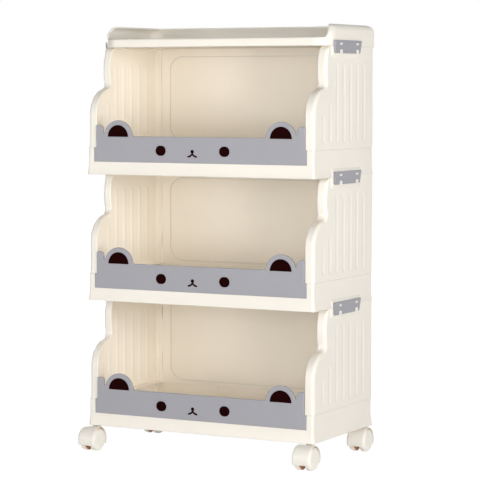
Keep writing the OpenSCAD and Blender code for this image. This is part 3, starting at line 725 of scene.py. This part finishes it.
def top_tray():
    """Top tray: a low lip in front, and a gallery that drops to it in two shoulders.

    The gallery's upper edge rolls inwards, and less and less down the shoulders."""
    mesh = bmesh.new()
    half, back_y = RACK_W / 2, RACK_D / 2
    depth, height = zip(*gallery_line())
    near = [2 * ROLL - 3 * k for k in range(1, 7)]
    outline = plate_outline(half, TRAY_FRONT, back_y, TRAY_FRONT_R, CORNER_R,
                            xs=[half - d for d in near], ys=list(depth) + [back_y - d for d in near])
    foot = arc((-TRAY_FOOT_R, TRAY_FOOT_R), TRAY_FOOT_R, -90, 0, 4)
    sections = []
    for p, step in zip(outline, outward(outline)):
        top = float(np.interp(p[1], depth, height))
        rolled = WALL + (ROLL - WALL) * smooth((top - ROLL_FROM) / (GALLERY_H - ROLL_FROM))
        up = climb(p, step, rolled, top, TRAY_FOOT_R, 0.0)[1:]
        down = climb(p, step, rolled, top, WALL + TRAY_COVE, WALL)[:0:-1]
        side = [Vector((p[0] + step[0] * d, p[1] + step[1] * d, z)) for d, z in foot]
        side += up[:-2] + softened(up[-2:] + down[:2]) + down[2:]
        for fall, rise in corner(4):
            by = WALL + TRAY_COVE * rise
            side.append(tray_inset(p, step, by, 2 * ROLL - by, WALL + TRAY_COVE * fall))
        sections.append(side)
    rings = [ring(mesh, points) for points in zip(*sections)]
    skin(mesh, rings)
    for end in (rings[0], rings[-1]):
        fill(mesh, [end], [[v.co.to_2d() for v in end]])
    return sealed(mesh)


# Back panels

def back_panel():
    """Back panel with a raised field in a groove towards the bin, and tabs at its foot."""
    mesh = bmesh.new()
    half = BACK_RIM_X - 0.3

    def to_bin(u, v, h):
        return (u, BODY_Y - h, v)

    def field(d):
        side, foot, top = half - FIELD_SIDE + d, FIELD_FOOT - d, PANEL_H - FIELD_TOP + d
        return round_rect(-side, side, foot, top, FIELD_R + d, 12)

    slab(mesh, round_rect(-half, half, 0, PANEL_H, 0.8, 3), 0, 0.8, 0.3, to_bin)
    slab(mesh, round_rect(-half + REBATE, half - REBATE, 0, PANEL_H, 0.8, 3), 0.6, WALL, 0.3, to_bin,
         pockets=[field(GROOVE_W)], sunk=GROOVE_D, foot_fillet=0.0)
    slab(mesh, field(0), WALL - GROOVE_D, WALL + FIELD_UP, FIELD_UP, to_bin, foot_fillet=0.0)
    for x in (-half / 2, 0, half / 2):
        slab(mesh, tab(x), WALL + FIT, WALL + FIT + TAB_T, 0.3, to_bin)
        root = round_rect(x - TAB_HALF, x + TAB_HALF, 0.1, WALL, 0.3, 3)
        slab(mesh, root, WALL - 0.4, WALL + FIT + 1.0, 0.0, to_bin)
    return sealed(mesh)


# Front rails and their inlays

def rail_outline():
    """A front rail from the front, from the middle of its foot round its right end, its post and its ear."""
    inner = POST_HALF - POST_W
    fillet_z = RAIL_H + EAR_FILLET
    fillet = (EAR_X - math.sqrt((EAR_R + EAR_FILLET) ** 2 - (fillet_z - EAR_Z) ** 2), fillet_z)
    leave = math.degrees(math.asin((NOTCH_Z - EAR_Z) / EAR_R))
    touch = heading((EAR_X, EAR_Z), fillet)
    right = [(0, 0)] + arc((RAIL_HALF - RAIL_FOOT_R, RAIL_FOOT_R), RAIL_FOOT_R, -90, 0, 4)
    right += arc((RAIL_HALF - RAIL_R, WIDE_H - RAIL_R), RAIL_R, 0, 90, 4) + [(POST_HALF, WIDE_H)]
    right += arc((POST_HALF - RAIL_R, POST_H - RAIL_R), RAIL_R, 0, 90, 4)
    right += arc((inner + POST_R, POST_H - POST_R), POST_R, 90, 180, 8)
    right += arc((inner - NOTCH_R, NOTCH_Z + NOTCH_R), NOTCH_R, 0, -90, 4)
    right += arc((EAR_X, EAR_Z), EAR_R, leave, touch, 40)
    right += arc(fillet, EAR_FILLET, touch - 180, -90, 6)
    return both_halves(right + [(0, RAIL_H)])


def eye_discs():
    half = EYE_R + EYE_SPREAD
    middles = [FACE_SHIFT + s * EYE_X for s in (-1, 1)]
    return [round_rect(x - half, x + half, EYE_Z - EYE_R, EYE_Z + EYE_R, EYE_R, 12) for x in middles]


def inner_ears():
    low = math.degrees(math.asin((RAIL_H - EAR_CUT - EAR_Z) / INNER_EAR_R))
    right = tidy_outline(arc((EAR_X, EAR_Z), INNER_EAR_R, low, 180 - low, 36))
    return [right, [(-u, v) for u, v in reversed(right)]]


def mouth():
    """Nose, mouth and the line between them, as one outline."""
    curve = (MOUTH_R, NOSE_Z - 0.6)
    right = [(0, CLEFT_Z)] + arc(curve, MOUTH_R + STROKE, 217, 268, 8)
    right += arc((MOUTH_R, curve[1] - MOUTH_R), STROKE, -90, 90, 6)
    right += arc(curve, MOUTH_R - STROKE, 268, 213, 8)
    right += [(STROKE, NECK_Z)] + arc((0, NOSE_Z), NOSE_R, -68, 90, 10)
    return [(FACE_SHIFT + u, v) for u, v in both_halves(right)]


def to_rail(u, v, h):
    """Height is measured from the rail's back towards the front."""
    return (u, RAIL_Y + RAIL_T - h, v)


def front_rail():
    """Rail with pockets for its inlays, and hooks that reach behind the side panels' rims."""
    mesh = bmesh.new()
    slab(mesh, rail_outline(), 0, RAIL_T, 0.9, to_rail, pockets=inner_ears() + eye_discs() + [mouth()])
    foot, head = HOOK_Z
    # On each side the hook behind the rim, and the root that joins it to the post
    for s in (1, -1):
        for reach, low, high, fillet in ((HOOK_REACH, -2.4, -0.6, 0.3), (-0.2, -1.0, 0.5, 0.0)):
            hook = [(-HOOK_REACH, foot), (reach, foot), (reach, head), (-HOOK_REACH, head)]
            slab(mesh, [(s * (POST_HALF + d), v) for d, v in hook][::s], low, high, fillet, to_rail)
    return sealed(mesh)


def inlays(outlines):
    mesh = bmesh.new()
    low = RAIL_T - POCKET
    for outline in outlines:
        slab(mesh, outline, low, low + INLAY_T, 0.15, to_rail, foot_fillet=0.0)
    return sealed(mesh)


# Link plates

def peg_outline(y, z, grow):
    half, r = PEG_L / 2 + grow, PEG_R + grow
    return round_rect(y - half, y + half, z - r, z + r, r, 6)


def link_plate():
    """Right link plate: two slots over the pegs above the joint, and two notches over those below it."""
    mesh = bmesh.new()
    low, high = PLATE_UP - PLATE_H, PLATE_UP - PLATE_TOP_R
    half, r = PEG_L / 2 + PEG_GAP, PEG_R + PEG_GAP
    outline = arc((PLATE_FOOT_Y[0] + PLATE_FOOT_R, low + PLATE_FOOT_R), PLATE_FOOT_R, 180, 270, 6)
    for y in PEG_Y:
        outline += [(y - half, low)] + arc((y - half + r, -PEG_DOWN), r, 180, 90, 6)
        outline += arc((y + half - r, -PEG_DOWN), r, 90, 0, 6) + [(y + half, low)]
    outline += arc((PLATE_FOOT_Y[1] - PLATE_FOOT_R, low + PLATE_FOOT_R), PLATE_FOOT_R, 270, 360, 6)
    outline += arc((PLATE_TOP_Y[1] - PLATE_TOP_R, high), PLATE_TOP_R, 0, 90, 4)
    outline += arc((PLATE_TOP_Y[0] + PLATE_TOP_R, high), PLATE_TOP_R, 90, 180, 4)
    slots = [peg_outline(y, PEG_UP, PEG_GAP) for y in PEG_Y]
    slab(mesh, tidy_outline(outline), RACK_W / 2, RACK_W / 2 + PLATE_T, 0.5, to_side, holes=slots)
    return sealed(mesh)


# Casters, with +X the way they trail and the axle along Y

def caster_hood():
    """Hood over both wheels, with the web between them and the boss that turns on the stem."""
    mesh = bmesh.new()
    across = 12
    crown = HOOD_OUT - CROWN_R
    section = [(HOOD_IN, -HOOD_HALF)] + arc((crown, -CROWN_HALF), CROWN_R, -45, 0, 8)
    section += arc((crown, CROWN_HALF), CROWN_R, 0, 45, 8)
    section += [(HOOD_IN, HOOD_HALF - 2 * HOOD_HALF * k / across) for k in range(across)]
    steps = 40
    loops = []
    for k in range(steps + 1):
        loop = []
        for r, w in section:
            first = math.pi - math.asin((SKIRT_Z - WHEEL_R) / r)
            a = first + (math.pi - 2 * first) * k / steps
            loop.append((TRAIL + r * math.cos(a), w, WHEEL_R + r * math.sin(a)))
        loops.append(ring(mesh, loop))
    skin(mesh, loops)
    for loop in (loops[0], loops[-1]):
        fill(mesh, [loop], [[(w, r) for r, w in section]])
    web_r = HOOD_IN + WEB_INTO
    low = math.degrees(math.asin((SKIRT_Z - WHEEL_R) / web_r))
    web = tidy_outline(arc((TRAIL, WHEEL_R), web_r, low, 180 - low, 36))
    slab(mesh, web, -WEB_T / 2, WEB_T / 2, 0.4, to_front)
    soft = 0.8
    boss = [(0, BOSS_FOOT), (BOSS_R, BOSS_FOOT)] + arc((BOSS_R - soft, HOOD_TOP - soft), soft, 0, 90, 3)
    boss += [(STEM_BORE_R, HOOD_TOP), (STEM_BORE_R, STEM_BORE_FOOT), (0, STEM_BORE_FOOT)]
    lathe(mesh, boss, upright, 32)
    return sealed(mesh)


def wheel():
    """A wheel as a solid of turning, with its inner face at height 0 and a domed outer face."""
    mesh = bmesh.new()
    inner_r, outer_r = 2, 6
    side = [(0, 0), (AXLE_BORE_R, 0)] + arc((WHEEL_R - inner_r, inner_r), inner_r, -90, 0, 5)
    side += arc((WHEEL_R - outer_r, WHEEL_W - outer_r), outer_r, 0, 80, 12)
    side += [(6, WHEEL_W - 0.05), (0, WHEEL_W)]
    lathe(mesh, side, to_front, 56)
    return sealed(mesh)


# Geometry Nodes: rows of small moulded parts on both sides of the rack

def rows_tree():
    """A tree that repeats one small part along the depth, over levels, over tiers and on both sides."""
    tree = bpy.data.node_groups.new("rows on both sides", "GeometryNodeTree")
    face = tree.interface
    face.new_socket("Geometry", in_out="INPUT", socket_type="NodeSocketGeometry")
    kinds = {"Part": "Object", "Material": "Material", "Along": "Int", "Levels": "Int", "Tiers": "Int",
             "Spacing": "Float", "Level height": "Float", "Tier height": "Float", "First": "Vector"}
    for name, kind in kinds.items():
        face.new_socket(name, in_out="INPUT", socket_type="NodeSocket" + kind)
    face.new_socket("Geometry", in_out="OUTPUT", socket_type="NodeSocketGeometry")
    link = tree.links.new
    given, result = new_node(tree, "NodeGroupInput"), new_node(tree, "NodeGroupOutput")

    part = new_node(tree, "GeometryNodeObjectInfo")
    link(given.outputs["Part"], part.inputs["Object"])
    shape = part.outputs["Geometry"]
    for count, axis, size in (("Along", "Y", "Spacing"), ("Levels", "Z", "Level height"),
                              ("Tiers", "Z", "Tier height")):
        step = new_node(tree, "ShaderNodeCombineXYZ")
        link(given.outputs[size], step.inputs[axis])
        row = new_node(tree, "GeometryNodeMeshLine")
        link(given.outputs[count], row.inputs["Count"])
        link(step.outputs[0], row.inputs["Offset"])
        copies = new_node(tree, "GeometryNodeInstanceOnPoints")
        link(row.outputs["Mesh"], copies.inputs["Points"])
        link(shape, copies.inputs["Instance"])
        shape = copies.outputs["Instances"]
    placed = new_node(tree, "GeometryNodeTransform")
    link(shape, placed.inputs["Geometry"])
    link(given.outputs["First"], placed.inputs["Translation"])
    real = new_node(tree, "GeometryNodeRealizeInstances")
    link(placed.outputs["Geometry"], real.inputs["Geometry"])
    other = new_node(tree, "GeometryNodeTransform", {"Scale": (-1, 1, 1)})
    link(real.outputs["Geometry"], other.inputs["Geometry"])
    flip = new_node(tree, "GeometryNodeFlipFaces")
    link(other.outputs["Geometry"], flip.inputs["Mesh"])
    both = new_node(tree, "GeometryNodeJoinGeometry")
    link(real.outputs["Geometry"], both.inputs[0])
    link(flip.outputs["Mesh"], both.inputs[0])
    solid = new_node(tree, "GeometryNodeRealizeInstances")
    link(both.outputs[0], solid.inputs["Geometry"])
    paint = new_node(tree, "GeometryNodeSetMaterial")
    link(solid.outputs["Geometry"], paint.inputs["Geometry"])
    link(given.outputs["Material"], paint.inputs["Material"])
    link(paint.outputs["Geometry"], result.inputs[0])
    return tree


ROWS = rows_tree()


def repeated(name, mesh, **inputs):
    """The rows of one small part as a plain mesh on the rack. Lengths among the inputs are in metres."""
    part = object_of(sealed(mesh), name + "_part", Matrix.Scale(MM, 4))
    piece = bpy.data.objects.new(name, bpy.data.meshes.new(name + "_start"))
    bpy.context.scene.collection.objects.link(piece)
    rows = piece.modifiers.new("rows", "NODES")
    rows.node_group = ROWS
    inputs["Part"] = part
    for item in ROWS.interface.items_tree:
        if item.in_out == "INPUT" and item.name in inputs:
            rows[item.identifier] = inputs[item.name]
    make_plain(piece)
    piece.data.transform(Matrix.Translation(STAND.translation * MM))
    bpy.data.objects.remove(part)
    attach(piece, "rack")


def back_clip():
    """A clip on the back, rooted in the back panel's edge, that reaches over the right side panel's."""
    mesh = bmesh.new()
    half, high = 6, 12

    def to_back(u, v, h):
        return (u, h, v)

    slab(mesh, round_rect(-half, half, -high, high, 1.2, 3), 0.2, FLARE, 0.4, to_back, foot_fillet=0.0)
    slab(mesh, round_rect(-half, 0, -high, high, 0.4, 2), -0.3, 0.6, 0.0, to_back)
    return mesh


def link_part(foot):
    """A peg or hook on the rack's right, from a foot height up to the round top of a peg."""
    mesh = bmesh.new()
    outline = round_rect(-PEG_L / 2, PEG_L / 2, foot, PEG_R, PEG_R, 6)
    slab(mesh, outline, -PEG_ROOT, PLATE_T + PEG_PROUD, 0.5, to_side, foot_fillet=0.0)
    return mesh


# The hooks reach down a little past the plates' feet
hook_foot = PEG_DOWN + PLATE_UP - PLATE_H - 0.4
for name, foot, z in (("link_pegs", -PEG_R, PEG_UP), ("link_hooks", hook_foot, -PEG_DOWN)):
    repeated(name, link_part(foot), **{
        "Material": cream, "Along": 2, "Levels": 1, "Tiers": 3,
        "Spacing": (PEG_Y[1] - PEG_Y[0]) * MM, "Level height": 0.0, "Tier height": TIER_H * MM,
        "First": (RACK_W / 2 * MM, PEG_Y[0] * MM, (CASTER_H + TIER_H + z) * MM)})

repeated("back_clips", back_clip(), **{
    "Material": cream, "Along": 1, "Levels": 2, "Tiers": 3,
    "Spacing": 0.0, "Level height": PANEL_H / 2 * MM, "Tier height": TIER_H * MM,
    "First": ((BACK_RIM_X - 0.3) * MM, BODY_Y * MM, (CASTER_H + SHELF_H + PANEL_H / 4) * MM)})


# Every piece in its place. A test of a face's centre c and normal n picks those of its second material: the
# cream with painted light inside the bins, or the painted brown shade in the casters

# The next three tests pick the inner faces that get the cream with painted light
def shelf_painted_light_faces(c, n):
    return abs(c.x) < BODY_X - 1.5 and abs(c.y) < BODY_Y - 1.5 and c.z > 2


def panel_painted_light_faces(c, n):
    return c.x < BODY_X - 1.5 and (n.y > -0.5 or c.y > BODY_Y - 6)


def back_painted_light_faces(c, n):
    return c.y < BODY_Y - WALL + 0.9 and n.y < -0.3


def hood_painted_shade_faces(c, n):
    """The web and the underside of the hood's top, which get the painted brown shade."""
    return math.hypot(c.x - TRAIL, c.z - WHEEL_R) < HOOD_IN + 0.45 and (abs(c.y) < 5 or c.z > WHEEL_R + 17)


# The wheel's inner face, which gets the painted brown shade
def wheel_painted_shade_faces(c, n):
    return abs(c.y) < 0.3


# The shell cream, and its copy with painted light for the inner faces
moulded = [cream, cream_painted_inside_light]
panel, low_shelf, high_shelf, back, rail = side_panel(), shelf(False), shelf(True), back_panel(), front_rail()
ears, marks, plate = inlays(inner_ears()), inlays(eye_discs() + [mouth()]), link_plate()
for i, tier in enumerate(TIERS):
    foot = CASTER_H + i * TIER_H
    put(high_shelf if i else low_shelf, f"{tier}_shelf", moulded, raised(foot), shelf_painted_light_faces)
    for side, at in (("left", MIRROR), ("right", Matrix.Identity(4))):
        put(panel, f"{tier}_{side}_panel", moulded, raised(foot + SHELF_H) @ at, panel_painted_light_faces)
        put(plate, f"{tier}_{side}_link_plate", [plate_grey], raised(foot + TIER_H) @ at)
    put(back, f"{tier}_back_panel", moulded, raised(foot + SHELF_H), back_painted_light_faces)
    put(rail, f"{tier}_front_rail", [grey], raised(foot + SILL_H))
    put(ears, f"{tier}_ear_inlays", [maroon], raised(foot + SILL_H))
    put(marks, f"{tier}_face_inlays", [maroon], raised(foot + SILL_H))
put(top_tray(), "top_tray", [cream], raised(TOP_Z))

# The caster cream, and the painted brown shade in the casters' gaps
cream_and_painted_shade = [caster_cream, caster_painted_shade]
hood, round_wheel = caster_hood(), wheel()
for name, sx, sy in CORNERS:
    at = Matrix.Translation((sx * STEM_X, sy * STEM_Y, 0)) @ Matrix.Rotation(CASTER_ANGLE, 4, "Z")
    put(hood, f"{name}_caster_hood", cream_and_painted_shade, at, hood_painted_shade_faces)
    for side, s in (("left", 1), ("right", -1)):
        hub = Matrix.Translation((TRAIL, -s * (WEB_T / 2 + HUB_GAP), WHEEL_R)) @ Matrix.Scale(s, 4, (0, 1, 0))
        put(round_wheel, f"{name}_{side}_wheel", cream_and_painted_shade, at @ hub, wheel_painted_shade_faces)


# Floor, light and camera, in metres and watts

WORLD_LIGHT = 0.1
FLOOR_SIDE, FLOOR_PALE, FLOOR_GLOW = 6.0, 0.9, 1.25
# The share of the floor's glow near the rack and far from it, and where the one ends and the other begins
GLOW_SHARE, GLOW_REACH = (0.75, 1.0), (0.4, 1.2)
# Name, place, size and power of each lamp, and the height above the floor that it looks at
LAMPS = (
    ("side", (3.0, -1.6, 0.6), 1.5, 76, 0.3),
    ("key", (2.2, -2.7, 1.2), 2.4, 23, 0.3),
    ("front", (0.4, -3.4, 0.35), 1.4, 27, 0.3),
    ("fill", (-1.5, -3.0, 0.6), 1.6, 27, 0.3),
    ("back", (-2.4, 2.6, 0.9), 1.6, 62, 0.35),
)
# The camera's place from the middle of the shelves, and how far it looks down and to the left
CAMERA_AT, CAMERA_DOWN, CAMERA_TURN = (1.6693, -3.0902, 0.6067), 4.164, 28.118
LENS, SENSOR = 158.9, 36.0


def seen_ray(tree):
    """1 for rays from the camera, and for those that a glossy or clear surface sends on, else 0."""
    path = new_node(tree, "ShaderNodeLightPath")
    seen = path.outputs["Is Camera Ray"]
    for kind in ("Is Glossy Ray", "Is Transmission Ray"):
        either = new_node(tree, "ShaderNodeMath", operation="MAXIMUM")
        tree.links.new(seen, either.inputs[0])
        tree.links.new(path.outputs[kind], either.inputs[1])
        seen = either.outputs[0]
    return seen


def mixed(tree, share, first, second, out):
    """Mixes two shaders by a share and leads them to the output's surface."""
    mix = new_node(tree, "ShaderNodeMixShader")
    tree.links.new(share, mix.inputs["Fac"])
    tree.links.new(first.outputs[0], mix.inputs[1])
    tree.links.new(second.outputs[0], mix.inputs[2])
    tree.links.new(mix.outputs[0], out.inputs["Surface"])


def white_world():
    """A plain white surround for the camera and for reflections, and a soft light from all sides."""
    world = bpy.data.worlds.new("studio")
    bpy.context.scene.world = world
    world.use_nodes = True
    tree = world.node_tree
    tree.nodes.clear()
    out = new_node(tree, "ShaderNodeOutputWorld")
    warm_white, white = (1.0, 0.985, 0.965, 1), (1, 1, 1, 1)
    light = new_node(tree, "ShaderNodeBackground", {"Strength": WORLD_LIGHT, "Color": warm_white})
    seen = new_node(tree, "ShaderNodeBackground", {"Strength": 1.0, "Color": white})
    mixed(tree, seen_ray(tree), light, seen, out)


def pale_floor():
    """A wide pale floor that shows white. Round the rack it keeps a faint shadow."""
    mesh = bpy.data.meshes.new("floor")
    corners = [(x * FLOOR_SIDE, y * FLOOR_SIDE, 0) for x, y in ((-1, -1), (1, -1), (1, 1), (-1, 1))]
    mesh.from_pydata(corners, [], [(0, 1, 2, 3)])
    floor = bpy.data.objects.new("floor", mesh)
    bpy.context.scene.collection.objects.link(floor)
    material = bpy.data.materials.new("pale floor")
    material.use_nodes = True
    tree = material.node_tree
    tree.nodes.clear()
    out = new_node(tree, "ShaderNodeOutputMaterial")
    paper = new_node(tree, "ShaderNodeBsdfDiffuse", {"Color": (FLOOR_PALE, FLOOR_PALE, FLOOR_PALE, 1)})
    glow = new_node(tree, "ShaderNodeEmission", {"Color": (1, 1, 1, 1), "Strength": FLOOR_GLOW})
    place = new_node(tree, "ShaderNodeTexCoord")
    away = new_node(tree, "ShaderNodeVectorMath", operation="LENGTH")
    tree.links.new(place.outputs["Object"], away.inputs[0])
    fade = new_node(tree, "ShaderNodeMapRange", {
        "From Min": GLOW_REACH[0], "From Max": GLOW_REACH[1],
        "To Min": GLOW_SHARE[0], "To Max": GLOW_SHARE[1]})
    tree.links.new(away.outputs["Value"], fade.inputs["Value"])
    share = new_node(tree, "ShaderNodeMath", operation="MULTIPLY")
    tree.links.new(seen_ray(tree), share.inputs[0])
    tree.links.new(fade.outputs["Result"], share.inputs[1])
    mixed(tree, share.outputs[0], paper, glow, out)
    mesh.materials.append(material)


def soft_box(name, place, size, power, height):
    """A square area lamp that looks at a point above the middle of the floor."""
    data = bpy.data.lights.new(name, "AREA")
    data.shape = "SQUARE"
    data.size = size
    data.energy = power
    lamp = bpy.data.objects.new(name, data)
    bpy.context.scene.collection.objects.link(lamp)
    lamp.location = place
    aim = Vector((0, 0, height)) - Vector(place)
    lamp.rotation_euler = aim.to_track_quat("-Z", "Y").to_euler()


def studio_camera():
    """The photograph's viewpoint: long lens, a little above the rack, from its right."""
    data = bpy.data.cameras.new("camera")
    data.sensor_width = SENSOR
    data.lens = LENS
    data.clip_end = 50.0
    camera = bpy.data.objects.new("camera", data)
    bpy.context.scene.collection.objects.link(camera)
    camera.location = Vector(CAMERA_AT) + STAND.translation * MM
    camera.rotation_euler = (math.radians(90 - CAMERA_DOWN), 0, math.radians(CAMERA_TURN))
    bpy.context.scene.camera = camera


white_world()
pale_floor()
studio_camera()
for lamp in LAMPS:
    soft_box(*lamp)

bpy.context.scene.view_settings.view_transform = "Standard"
